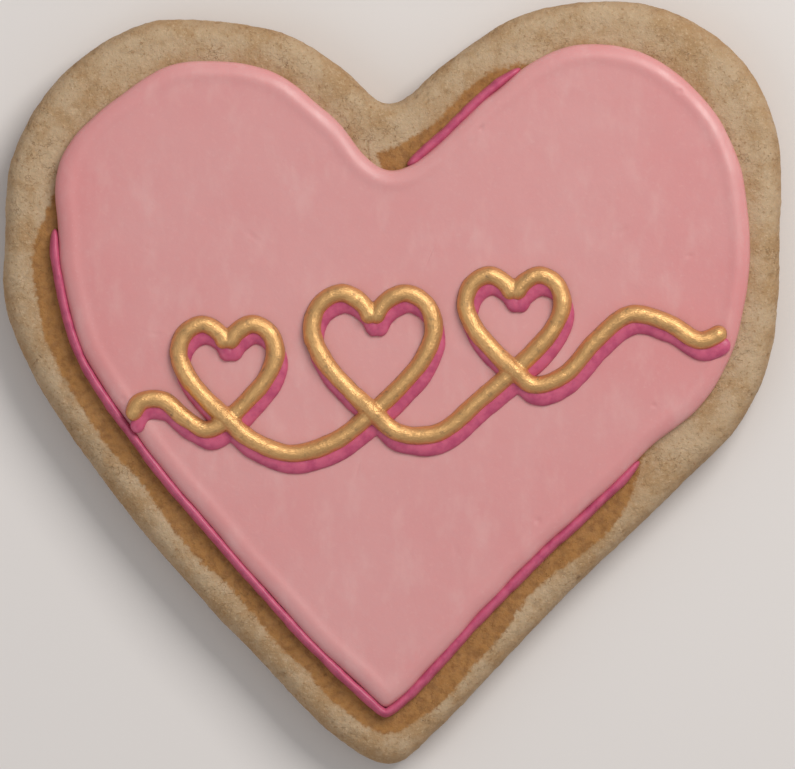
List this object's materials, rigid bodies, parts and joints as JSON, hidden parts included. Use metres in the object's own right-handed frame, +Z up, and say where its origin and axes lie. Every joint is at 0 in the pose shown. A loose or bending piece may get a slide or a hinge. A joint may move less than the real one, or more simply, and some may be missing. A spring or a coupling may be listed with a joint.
{
  "type": "iced sugar cookie",
  "caption": "Heart-shaped iced sugar cookie lying flat: baked biscuit, flood of pink icing, deep pink edge lines and a gold piped line running through heart-shaped loops.",
  "frame": {"origin": "middle of the base of the cookie's box, on the biscuit's flat underside", "axes": "+Z up through the icing, +Y from the heart's tip towards its cleft, +X to the right seen from above"},
  "size_m": [0.105, 0.103, 0.0122],
  "materials": {
    "baked_biscuit": "matte baked sugar dough, fine crumb, lightly browned at the edge",
    "pink_icing": "set flood icing, smooth satin",
    "deep_pink_icing": "set piped icing, satin",
    "gold_lustre": "edible gold lustre brushed over set icing, metallic sheen"
  },
  "bodies": {
    "root": {"biscuit": "baked_biscuit", "pink_icing": "pink_icing", "rim_line_lower": "deep_pink_icing", "rim_line_cleft": "deep_pink_icing", "shade_line": "deep_pink_icing", "gold_line": "gold_lustre"}
  },
  "joints": []
}
